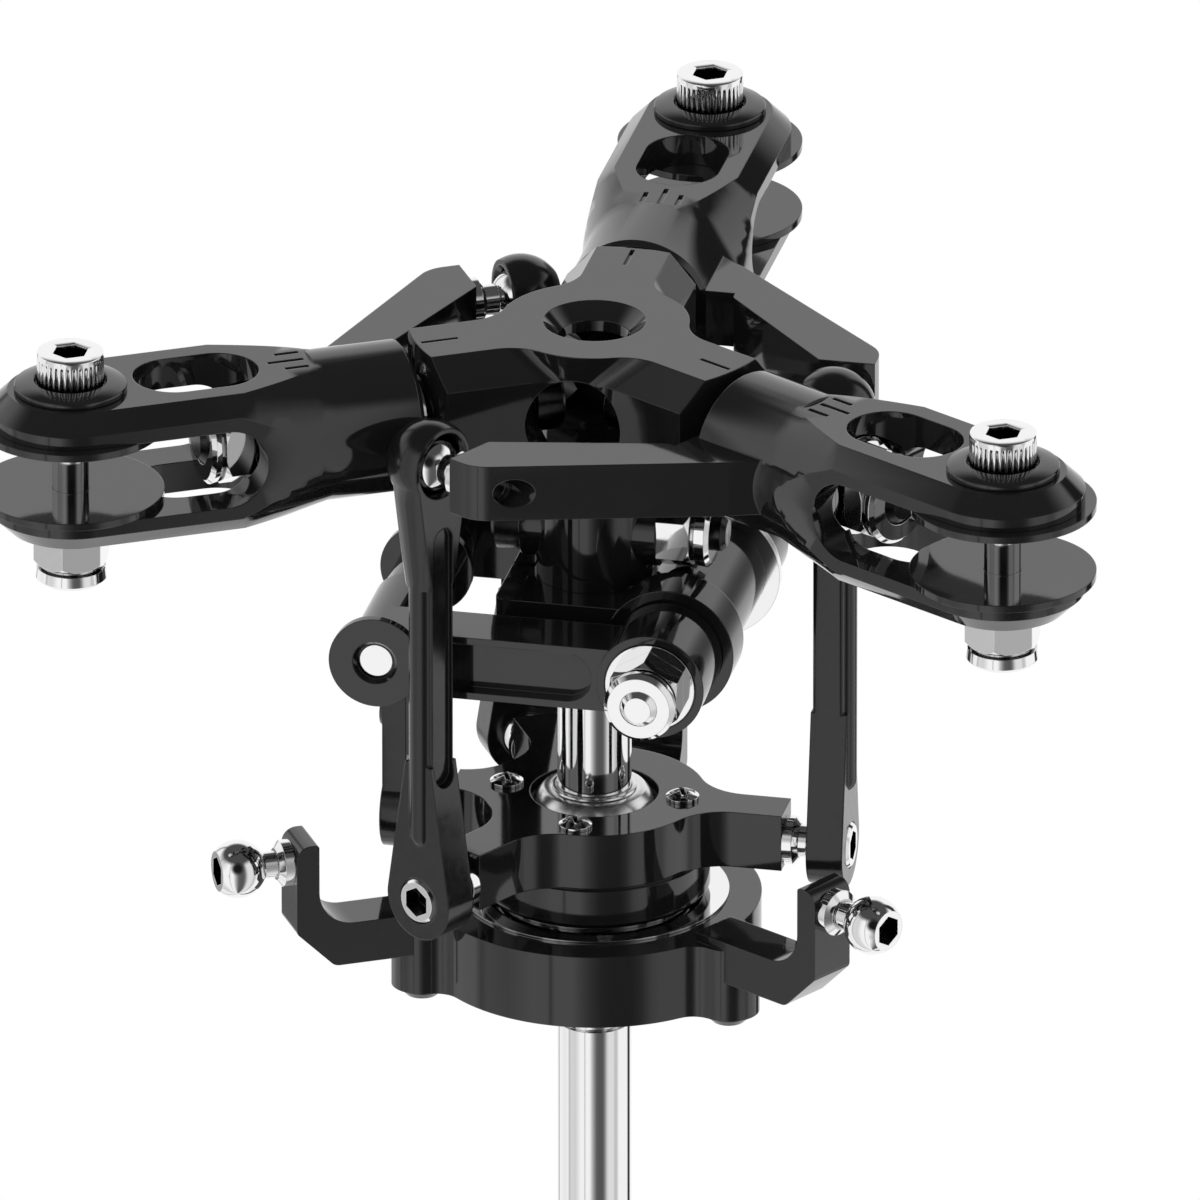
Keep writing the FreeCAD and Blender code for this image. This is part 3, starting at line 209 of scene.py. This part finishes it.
def ground_steel(look):
    """Centreless-ground steel: fine lines round the shaft blur its reflection a little."""
    material, tree = new_material("ground_steel")
    lines = object_noise(tree, size_mm=0.12, stretch=(0.05, 0.05, 1))
    rough = ramp(tree, (lines, "Fac"), low=0.05, high=0.09)
    normal = eased_edges(tree, look.edge_radius_mm * STEEL_EDGE)
    finish_surface(tree, {"Base Color": linear(look.steel_hex), "Metallic": 1.0},
                   {"Roughness": (rough, "Result"), "Normal": (normal, "Normal")})
    return material


def black_oxide_steel(look):
    """Steel screws blackened in hot salts and oiled: a dark metal with a soft sheen."""
    material, tree = new_material("black_oxide_steel")
    mottle = object_noise(tree, size_mm=0.8, detail=3.0)
    rough = ramp(tree, (mottle, "Fac"), low=0.2, high=0.34)
    normal = eased_edges(tree, look.edge_radius_mm)
    finish_surface(tree, {"Base Color": linear(look.oxide_hex), "Metallic": 1.0},
                   {"Roughness": (rough, "Result"), "Normal": (normal, "Normal")})
    return material


def satin_steel(look):
    """Hardened steel, polished to a satin: the ball that the swashplate tilts on."""
    material, tree = new_material("satin_steel")
    haze = object_noise(tree, size_mm=2.5)
    rough = ramp(tree, (haze, "Fac"), low=0.2, high=0.26)
    normal = eased_edges(tree, look.edge_radius_mm * STEEL_EDGE)
    finish_surface(tree, {"Base Color": linear(look.satin_hex), "Metallic": 1.0},
                   {"Roughness": (rough, "Result"), "Normal": (normal, "Normal")})
    return material


MAKERS = {"black_anodised": black_anodised_aluminium, "moulded_plastic": moulded_nylon,
          "bright_chrome": chromed_steel, "ground_steel": ground_steel,
          "black_oxide_steel": black_oxide_steel, "satin_steel": satin_steel}
made_materials = {}


def material_for(slot_name):
    """The material of one of the record's slots, made once."""
    if slot_name not in made_materials:
        made_materials[slot_name] = MAKERS[slot_name](bpy.context.scene.rotor_look)
    return made_materials[slot_name]


def smooth_group():
    """A modifier that joins a node's loose triangles and smooths all but its real edges."""
    name = "soft_shading"
    weld, sharpest = 0.002 * MM, math.radians(28)
    if name in bpy.data.node_groups:
        return bpy.data.node_groups[name]
    tree = bpy.data.node_groups.new(name, "GeometryNodeTree")
    tree.interface.new_socket("Geometry", in_out="INPUT", socket_type="NodeSocketGeometry")
    tree.interface.new_socket("Geometry", in_out="OUTPUT", socket_type="NodeSocketGeometry")
    start = add_node(tree, "NodeGroupInput")
    merged = add_node(tree, "GeometryNodeMergeByDistance", inputs={"Distance": weld},
                      links={"Geometry": (start, "Geometry")})
    faces = add_node(tree, "GeometryNodeSetShadeSmooth", {"domain": "FACE"}, {"Shade Smooth": True},
                     {"Geometry": (merged, "Geometry")})
    angle = add_node(tree, "GeometryNodeInputMeshEdgeAngle")
    soft = add_node(tree, "FunctionNodeCompare", {"data_type": "FLOAT", "operation": "LESS_THAN"},
                    {"B": sharpest}, {"A": (angle, "Unsigned Angle")})
    edges = add_node(tree, "GeometryNodeSetShadeSmooth", {"domain": "EDGE"}, None,
                     {"Geometry": (faces, "Geometry"), "Shade Smooth": (soft, "Result")})
    add_node(tree, "NodeGroupOutput", links={"Geometry": (edges, "Geometry")})
    return tree


def dress_node(name, slot_name):
    """Gives a CAD node its material and its soft shading."""
    thing = NODES[name]
    thing.data.materials.clear()
    thing.data.materials.append(material_for(slot_name))
    thing.modifiers.new("soft_shading", "NODES").node_group = smooth_group()


# Shapes on grids


def grid_faces(rows, columns, looped=False):
    """Quads between neighbouring rows of a grid that closes round its columns, and round its
    rows too where it is looped."""
    row, column = np.meshgrid(np.arange(rows if looped else rows - 1), np.arange(columns), indexing="ij")
    after, above = (column + 1) % columns, (row + 1) % rows
    corners = [row * columns + column, row * columns + after,
               above * columns + after, above * columns + column]
    return np.stack(corners, axis=-1).reshape(-1, 4)


def hex_radius(turn, half_flats):
    """Distance from a hexagon's centre to its side, along each direction."""
    sector = math.pi / 3
    return half_flats / np.cos(np.mod(turn, sector) - sector / 2)


def skin(name, rings, slot_name, looped=False):
    """A closed piece from rings of points, each an array of x, y, z rows, and all with as many
    rows. Its first and last rings are shrunk to a point, or joined to each other where the
    piece is looped."""
    grid = np.concatenate(rings)
    mesh = bpy.data.meshes.new(name)
    faces = grid_faces(len(rings), len(rings[0]), looped)
    mesh.from_pydata(grid.tolist(), [], faces.tolist())
    mesh.update()
    piece = bpy.data.objects.new(name, mesh)
    bpy.context.scene.collection.objects.link(piece)
    mesh.materials.append(material_for(slot_name))
    piece.modifiers.new("soft_shading", "NODES").node_group = smooth_group()
    return piece


def stacked_rings(profile, columns):
    """Rings of (radius, height) rows about +Z: a radius is a number or one value per column."""
    turn = np.arange(columns) * 2 * math.pi / columns
    rings = []
    for radius, height in profile:
        reach = np.broadcast_to(radius, turn.shape)
        lift = np.broadcast_to(height, turn.shape)
        rings.append(np.stack([reach * np.cos(turn), reach * np.sin(turn), lift], axis=-1) * MM)
    return rings


def moved(rings, turn_deg, offset):
    """Rings turned about +Z and moved by an offset in metres."""
    a = math.radians(turn_deg)
    turn = np.array([[math.cos(a), math.sin(a), 0], [-math.sin(a), math.cos(a), 0], [0, 0, 1]])
    return [ring @ turn + np.array(offset) for ring in rings]


# What a user may change


class RotorLook(bpy.types.PropertyGroup):
    """Colours and finishes."""
    film_hex: bpy.props.StringProperty(
        name="Anodised film", description="Colour of the black anodic film", default="#141415")
    nylon_hex: bpy.props.StringProperty(
        name="Nylon", description="Colour of the moulded links", default="#121212")
    chrome_hex: bpy.props.StringProperty(
        name="Chrome", description="Colour of the chrome plate", default="#f2f2f2")
    steel_hex: bpy.props.StringProperty(
        name="Steel", description="Colour of the ground steel", default="#f0f0f0")
    satin_hex: bpy.props.StringProperty(
        name="Satin steel", description="Colour of the satin steel", default="#e4e4e4")
    oxide_hex: bpy.props.StringProperty(
        name="Black oxide", description="Colour of the blackened screws", default="#3a3a3c")
    # Painted shade: the dark colour that metal is given deep in key sockets and in flute roots
    painted_shade_hex: bpy.props.StringProperty(
        name="Socket shade", description="Colour of metal deep in a key socket", default="#141416")
    floor_hex: bpy.props.StringProperty(
        name="Floor", description="Colour of the pale floor", default="#e6e6e6")
    socket_shade_mm: bpy.props.FloatProperty(
        name="Socket shade (mm)", description="How near walls darken each other", default=3.0)
    film_ior: bpy.props.FloatProperty(
        name="Film IOR", description="Refractive index of the sealed film", default=1.6)
    film_roughness: bpy.props.FloatProperty(
        name="Film roughness", description="Roughness of the anodic film", default=0.065)
    mould_roughness: bpy.props.FloatProperty(
        name="Mould roughness", description="Roughness of the nylon", default=0.15)
    edge_radius_mm: bpy.props.FloatProperty(
        name="Edge radius (mm)", description="How far machined edges are eased", default=0.12)
    cutter_line_mm: bpy.props.FloatProperty(
        name="Cutter lines (mm)", description="Spacing of the milling lines, drawn coarser", default=0.25)
    film_blotch_mm: bpy.props.FloatProperty(
        name="Film variation (mm)", description="Width of the film's colour variation", default=6.0)
    mould_peel_mm: bpy.props.FloatProperty(
        name="Mould peel (mm)", description="Width of the moulded surface's waves", default=0.7)


class RotorSizes(bpy.types.PropertyGroup):
    """Sizes of the fine fasteners, and the camera's."""
    flutes: bpy.props.IntProperty(
        name="Head flutes", description="Flutes round a blade bolt's head", default=34)
    flute_depth_mm: bpy.props.FloatProperty(
        name="Flute depth (mm)", description="Depth of the flutes", default=0.16)
    hex_half_mm: bpy.props.FloatProperty(
        name="Hex key half width (mm)", description="Half the hexagon socket's width", default=1.25)
    screw_circle_mm: bpy.props.FloatProperty(
        name="Star screw circle (mm)", description="Radius of the star screws' circle", default=7.25)
    cross_half_mm: bpy.props.FloatProperty(
        name="Cross slot half width (mm)", description="Half width of the cross recess", default=0.2)
    photo_side_mm: bpy.props.FloatProperty(
        name="Picture width (mm)", description="Width of the view at the hub", default=96.34)
    lens_mm: bpy.props.FloatProperty(name="Lens (mm)", description="Focal length", default=1600.0)


# Pieces


class ROTOR_OT_cad_finishes(bpy.types.Operator):
    """Gives each CAD node the finish of its slot."""
    bl_idname = "rotor.cad_finishes"
    bl_label = "Finish the CAD pieces"

    def execute(self, context):
        for part in frame["record"]["subparts"]:
            dress_node(part["node"], part["material_slot"])
        return {"FINISHED"}


class ROTOR_OT_blade_bolts(bpy.types.Operator):
    """Makes the blade bolts: a fluted head with a hexagon socket on a plain shank."""
    bl_idname = "rotor.blade_bolts"
    bl_label = "Make the blade bolts"

    def execute(self, context):
        sizes = context.scene.rotor_sizes
        flute_columns = 8
        columns = sizes.flutes * flute_columns
        turn = np.arange(columns) * 2 * math.pi / columns
        # A raised cosine round the head, cubed, so that the flutes are narrower than their lands
        wave = (0.5 - 0.5 * np.cos(turn * sizes.flutes)) ** 3
        key = hex_radius(turn, sizes.hex_half_mm)
        shank, tip_bevel, head_height = 1.5, 0.4, 3.0
        flute_end, plain_rim, top_ease = 0.8, 0.5, 0.14
        key_ease, key_depth, drill_depth = 0.12, 1.9, 2.5
        for number, angle in zip(ARM_NUMBERS, ARM_ANGLES):
            node = "blade_bolt_%d" % number
            low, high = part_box(node)
            head_radius = (high[0] - low[0]) / 2 / MM
            tip, top = low[2] / MM, high[2] / MM
            seat = top - head_height
            fluted = head_radius - sizes.flute_depth_mm * wave
            profile = [(0.0, tip), (shank - tip_bevel, tip), (shank, tip + tip_bevel), (shank, seat),
                       (head_radius - 0.3, seat), (fluted - 0.08, seat + 0.1),
                       (fluted, seat + 0.25), (fluted, top - flute_end),
                       (head_radius, top - plain_rim), (head_radius, top - top_ease),
                       (head_radius - 0.04, top - 0.05), (head_radius - top_ease, top),
                       (key + key_ease, top), (key + 0.03, top - 0.04),
                       (key, top - 0.15), (key, top - key_depth), (0.0, top - drill_depth)]
            centre = [(low[i] + high[i]) / 2 for i in (0, 1)] + [0]
            rings = moved(stacked_rings(profile, columns), angle, centre)
            piece = skin("knurled_" + node, rings, "bright_chrome")
            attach(piece, "grip_%d" % number)
            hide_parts(node)
        return {"FINISHED"}


class ROTOR_OT_cup_washers(bpy.types.Operator):
    """Makes the dished washers that the blade bolts' heads sit in."""
    bl_idname = "rotor.cup_washers"
    bl_label = "Make the cup washers"

    def execute(self, context):
        bore, dish, lip, dish_floor, rim = 1.6, 2.85, 3.12, 0.3, 0.86
        ease, wall = 0.08, 0.42
        for number in ARM_NUMBERS:
            node = "cup_washer_%d" % number
            low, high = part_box(node)
            seat, radius = low[2] / MM, (high[0] - low[0]) / 2 / MM
            profile = [(bore, seat), (radius - ease, seat), (radius, seat + ease),
                       (radius, seat + wall), (radius - 0.06, seat + wall + 0.1),
                       (radius - 0.16, seat + wall + 0.15), (lip, seat + rim),
                       (dish + 0.15, seat + rim), (dish + 0.07, seat + rim - ease),
                       (dish, seat + dish_floor), (bore, seat + dish_floor)]
            centre = [(low[i] + high[i]) / 2 for i in (0, 1)] + [0]
            rings = moved(stacked_rings(profile, ROUND_COLUMNS), 0, centre)
            piece = skin("dished_" + node, rings, "black_anodised", looped=True)
            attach(piece, "grip_%d" % number)
            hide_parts(node)
        return {"FINISHED"}


class ROTOR_OT_tilt_ball(bpy.types.Operator):
    """Makes the ball that the swashplate tilts on, cut flat on top round the shaft's sleeve."""
    bl_idname = "rotor.tilt_ball"
    bl_label = "Make the tilt ball"

    def execute(self, context):
        low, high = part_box("uniball")
        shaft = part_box("main_shaft")
        shaft_gap, sleeve_wall = 0.03, 0.35
        bore = (shaft[1][0] - shaft[0][0]) / 2 / MM + shaft_gap
        radius, reach = (high[0] - low[0]) / 2 / MM, (high[2] - low[2]) / 2 / MM
        centre = [(low[i] + high[i]) / 2 for i in range(3)]
        flat, foot = 3.85, 4.3
        shoulder = flat - 0.2
        profile = [(bore, -reach), (bore + sleeve_wall, -reach), (bore + sleeve_wall, -foot)]
        # The ball's outline: at each height, the root of its radius squared less the height squared
        for height in np.linspace(-foot, shoulder, 28):
            profile.append((math.sqrt(radius ** 2 - height ** 2), height))
        edge = math.sqrt(radius ** 2 - shoulder ** 2)
        profile += [(edge - 0.14, flat - 0.06), (edge - 0.34, flat), (bore + 0.5, flat),
                    (bore + 0.42, flat + 0.06), (bore + 0.36, flat + 0.2),
                    (bore + 0.1, flat + 0.24), (bore, flat + 0.16)]
        rings = moved(stacked_rings(profile, ROUND_COLUMNS), 0, centre)
        piece = skin("cut_tilt_ball", rings, "satin_steel", looped=True)
        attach(piece, "swash_star")
        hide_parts("uniball")
        return {"FINISHED"}


class ROTOR_OT_star_screws(bpy.types.Operator):
    """Makes the pan screws of the swashplate's cover, each with a cross recess."""
    bl_idname = "rotor.star_screws"
    bl_label = "Make the cover screws"

    def execute(self, context):
        sizes = context.scene.rotor_sizes
        head_radius, head_height, crown = 1.35, 0.8, 0.5
        shank, shank_length = 0.7, 3.0
        slot_reach, slot_depth, slot_wall, slot_end = 1.0, 0.55, 0.05, 0.08
        _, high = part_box("star_screws")
        seat = high[2] / MM - head_height
        columns = 96
        turn = np.arange(columns) * 2 * math.pi / columns
        x_of, y_of = np.abs(np.cos(turn)), np.abs(np.sin(turn))
        profile = [(0.0, seat - shank_length), (shank, seat - shank_length), (shank, seat),
                   (head_radius, seat), (head_radius, seat + head_height - crown)]
        # The crown falls with the square of the radius. A point is in the cross where the nearer
        # of its distances to the two slots' middle lines is under the slots' half width.
        for radius in np.linspace(head_radius - 0.05, 0.0, 16):
            dome = seat + head_height - crown * (radius / head_radius) ** 2
            near = np.minimum(x_of * radius, y_of * radius)
            inside = np.clip((sizes.cross_half_mm - near) / slot_wall, 0, 1)
            depth = slot_depth * inside * np.clip((slot_reach - radius) / slot_end, 0, 1)
            profile.append((radius, dome - depth))
        for number, start in enumerate(STAR_SCREW_ANGLES, 1):
            a = math.radians(start)
            centre = np.array([math.cos(a), math.sin(a), 0]) * sizes.screw_circle_mm * MM
            rings = moved(stacked_rings(profile, columns), start + CROSS_TURN, centre)
            piece = skin("cover_screw_%d" % number, rings, "bright_chrome")
            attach(piece, "swash_star")
            if number == 1:
                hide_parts("star_screws")
        return {"FINISHED"}


class ROTOR_OT_studio(bpy.types.Operator):
    """Sets the white surroundings, the soft light and the camera."""
    bl_idname = "rotor.studio"
    bl_label = "Set the studio"

    def execute(self, context):
        make_world()
        make_floor(context.scene.rotor_look.floor_hex)
        make_lamps()
        make_camera(context.scene.rotor_sizes)
        context.scene.view_settings.view_transform = "Standard"
        return {"FINISHED"}


def seen_directly(tree):
    """The Light Path node, and a value that is 1 for camera, mirror and glass rays and 0 for
    light on the surfaces."""
    path = add_node(tree, "ShaderNodeLightPath")
    first = add_node(tree, "ShaderNodeMath", {"operation": "MAXIMUM"},
                     links={0: (path, "Is Camera Ray"), 1: (path, "Is Glossy Ray")})
    return path, add_node(tree, "ShaderNodeMath", {"operation": "MAXIMUM"},
                          links={0: (first, "Value"), 1: (path, "Is Transmission Ray")})


def towards_camera():
    """The direction from the object to the camera: turned from -Y towards +X, and up."""
    turn, rise = math.radians(CAMERA_TURN), math.radians(CAMERA_RISE)
    return Vector((math.sin(turn) * math.cos(rise), -math.cos(turn) * math.cos(rise), math.sin(rise)))


def make_world():
    """White behind the object, and in its mirrors the strips of a studio, dark overhead and
    where the camera stands. Overhead is told by a direction's height, the sine of its rise, and
    the camera's stand by the cosine of its angle to the camera."""
    overhead_from, overhead_full = 0.5, 0.75
    stand_from, stand_full = 0.86, 0.985
    world = bpy.data.worlds.new("studio")
    bpy.context.scene.world = world
    world.use_nodes = True
    tree = world.node_tree
    tree.nodes.clear()
    place = add_node(tree, "ShaderNodeTexCoord")
    parts = add_node(tree, "ShaderNodeSeparateXYZ", links={"Vector": (place, "Generated")})
    turn = add_node(tree, "ShaderNodeMath", {"operation": "ARCTAN2"},
                    links={0: (parts, "Y"), 1: (parts, "X")})
    share = add_node(tree, "ShaderNodeMapRange",
                     inputs={"From Min": -math.pi, "From Max": math.pi, "To Min": 0.0, "To Max": 1.0},
                     links={"Value": (turn, "Value")})
    strips = add_node(tree, "ShaderNodeValToRGB", links={"Fac": (share, "Result")})
    points = strips.color_ramp.elements
    for azimuth, _ in STUDIO_STRIPS[1:-1]:
        points.new((azimuth + 180) / 360)
    for point, (_, value) in zip(points, STUDIO_STRIPS):
        point.color = [value] * 3 + [1]
    high = add_node(tree, "ShaderNodeMapRange", {"interpolation_type": "SMOOTHSTEP"},
                    {"From Min": overhead_from, "From Max": overhead_full, "To Min": 0.0, "To Max": 1.0},
                    {"Value": (parts, "Z")})
    dome = add_node(tree, "ShaderNodeMix", {"data_type": "RGBA"}, links={"Factor": (high, "Result"),
                                                                         "A": (strips, "Color")})
    dome.inputs["B"].default_value = [OVERHEAD_GREY] * 3 + [1]
    facing = add_node(tree, "ShaderNodeVectorMath", {"operation": "DOT_PRODUCT"},
                      {1: towards_camera()}, {0: (place, "Generated")})
    stand = add_node(tree, "ShaderNodeMapRange", {"interpolation_type": "SMOOTHSTEP"},
                     {"From Min": stand_from, "From Max": stand_full, "To Min": 0.0, "To Max": 1.0},
                     {"Value": (facing, "Value")})
    studio = add_node(tree, "ShaderNodeMix", {"data_type": "RGBA"},
                      links={"Factor": (stand, "Result"), "A": (dome, "Result")})
    studio.inputs["B"].default_value = [CAMERA_STAND_GREY] * 3 + [1]
    mirror = add_node(tree, "ShaderNodeBackground", inputs={"Strength": 1.0},
                      links={"Color": (studio, "Result")})
    soft = add_node(tree, "ShaderNodeBackground",
                    inputs={"Color": (1, 1, 1, 1), "Strength": SOFT_LIGHT})
    white = add_node(tree, "ShaderNodeBackground", inputs={"Color": (1, 1, 1, 1), "Strength": 1.0})
    path, seen = seen_directly(tree)
    lit = add_node(tree, "ShaderNodeMixShader", links={0: (seen, "Value"), 1: (soft, "Background"),
                                                       2: (mirror, "Background")})
    shown = add_node(tree, "ShaderNodeMixShader", links={0: (path, "Is Camera Ray"), 1: (lit, "Shader"),
                                                         2: (white, "Background")})
    add_node(tree, "ShaderNodeOutputWorld", links={"Surface": (shown, "Shader")})


def make_floor(floor_hex):
    """A pale floor at the shaft's lower end. It is white to the camera and clear from beneath,
    and it isn't in the mirrored studio, whose strips reach down all round the object."""
    half_side = 1.0
    mesh = bpy.data.meshes.new("floor")
    corners = [(x * half_side, y * half_side, 0) for x, y in ((-1, -1), (1, -1), (1, 1), (-1, 1))]
    mesh.from_pydata(corners, [], [(0, 1, 2, 3)])
    floor = bpy.data.objects.new("floor", mesh)
    floor.visible_glossy = False
    material, tree = new_material("pale_floor")
    pale = add_node(tree, "ShaderNodeBsdfDiffuse", inputs={"Color": linear(floor_hex)})
    white = add_node(tree, "ShaderNodeEmission", inputs={"Color": (1, 1, 1, 1), "Strength": 1.0})
    path = add_node(tree, "ShaderNodeLightPath")
    clear = add_node(tree, "ShaderNodeBsdfTransparent")
    side = add_node(tree, "ShaderNodeNewGeometry")
    top = add_node(tree, "ShaderNodeMixShader", links={0: (path, "Is Camera Ray"), 1: (pale, "BSDF"),
                                                       2: (white, "Emission")})
    shown = add_node(tree, "ShaderNodeMixShader", links={0: (side, "Backfacing"), 1: (top, "Shader"),
                                                         2: (clear, "BSDF")})
    add_node(tree, "ShaderNodeOutputMaterial", links={"Surface": (shown, "Shader")})
    mesh.materials.append(material)
    bpy.context.scene.collection.objects.link(floor)


def make_lamps():
    """A broad lamp overhead and one low on each side, left out of the mirrored studio."""
    for name, spot, side, watts in LAMPS:
        data = bpy.data.lights.new(name, "AREA")
        data.size, data.energy = side, watts
        lamp = bpy.data.objects.new(name, data)
        lamp.visible_glossy = False
        lamp.location = spot
        lamp.rotation_euler = (LAMP_TARGET - Vector(spot)).to_track_quat("-Z", "Y").to_euler()
        bpy.context.scene.collection.objects.link(lamp)


def make_camera(sizes):
    """A long lens from the photograph's direction, aimed so that the hub's top is at its pixel."""
    mm_px = sizes.photo_side_mm / PHOTO_PX
    top_x, top_y = HUB_TOP_PX
    back = towards_camera()
    right = Vector((-back.y, back.x, 0)).normalized()
    up = back.cross(right)
    hub_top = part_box("hub_block")[1][2]
    aim = Vector((0, 0, hub_top)) + right * ((PHOTO_PX / 2 - top_x) * mm_px * MM)
    aim -= up * ((PHOTO_PX / 2 - top_y) * mm_px * MM)
    data = bpy.data.cameras.new("camera")
    data.sensor_width, data.lens = 36.0, sizes.lens_mm
    distance = sizes.photo_side_mm * MM / data.sensor_width * data.lens
    data.clip_start, data.clip_end = 0.1, 50.0
    camera = bpy.data.objects.new("camera", data)
    camera.location = aim + back * distance
    camera.rotation_euler = back.to_track_quat("Z", "Y").to_euler()
    bpy.context.scene.collection.objects.link(camera)
    bpy.context.scene.camera = camera


class ROTOR_PT_panel(bpy.types.Panel):
    """Lists the steps that finish the rotor hub."""
    bl_idname = "ROTOR_PT_panel"
    bl_label = "Rotor hub"
    bl_space_type = "VIEW_3D"
    bl_region_type = "UI"
    bl_category = "Rotor hub"

    def draw(self, context):
        for step in STEPS:
            self.layout.operator(step.bl_idname)


STEPS = (ROTOR_OT_cad_finishes, ROTOR_OT_blade_bolts, ROTOR_OT_cup_washers, ROTOR_OT_tilt_ball,
         ROTOR_OT_star_screws, ROTOR_OT_studio)
CLASSES = (RotorLook, RotorSizes) + STEPS + (ROTOR_PT_panel,)


def register():
    for item in CLASSES:
        bpy.utils.register_class(item)
    bpy.types.Scene.rotor_look = bpy.props.PointerProperty(type=RotorLook)
    bpy.types.Scene.rotor_sizes = bpy.props.PointerProperty(type=RotorSizes)


def unregister():
    del bpy.types.Scene.rotor_sizes
    del bpy.types.Scene.rotor_look
    for item in reversed(CLASSES):
        bpy.utils.unregister_class(item)


def main():
    register()
    bpy.ops.rotor.cad_finishes()
    bpy.ops.rotor.blade_bolts()
    bpy.ops.rotor.cup_washers()
    bpy.ops.rotor.tilt_ball()
    bpy.ops.rotor.star_screws()
    bpy.ops.rotor.studio()
    bpy.context.view_layer.update()


if __name__ == "__main__":
    main()
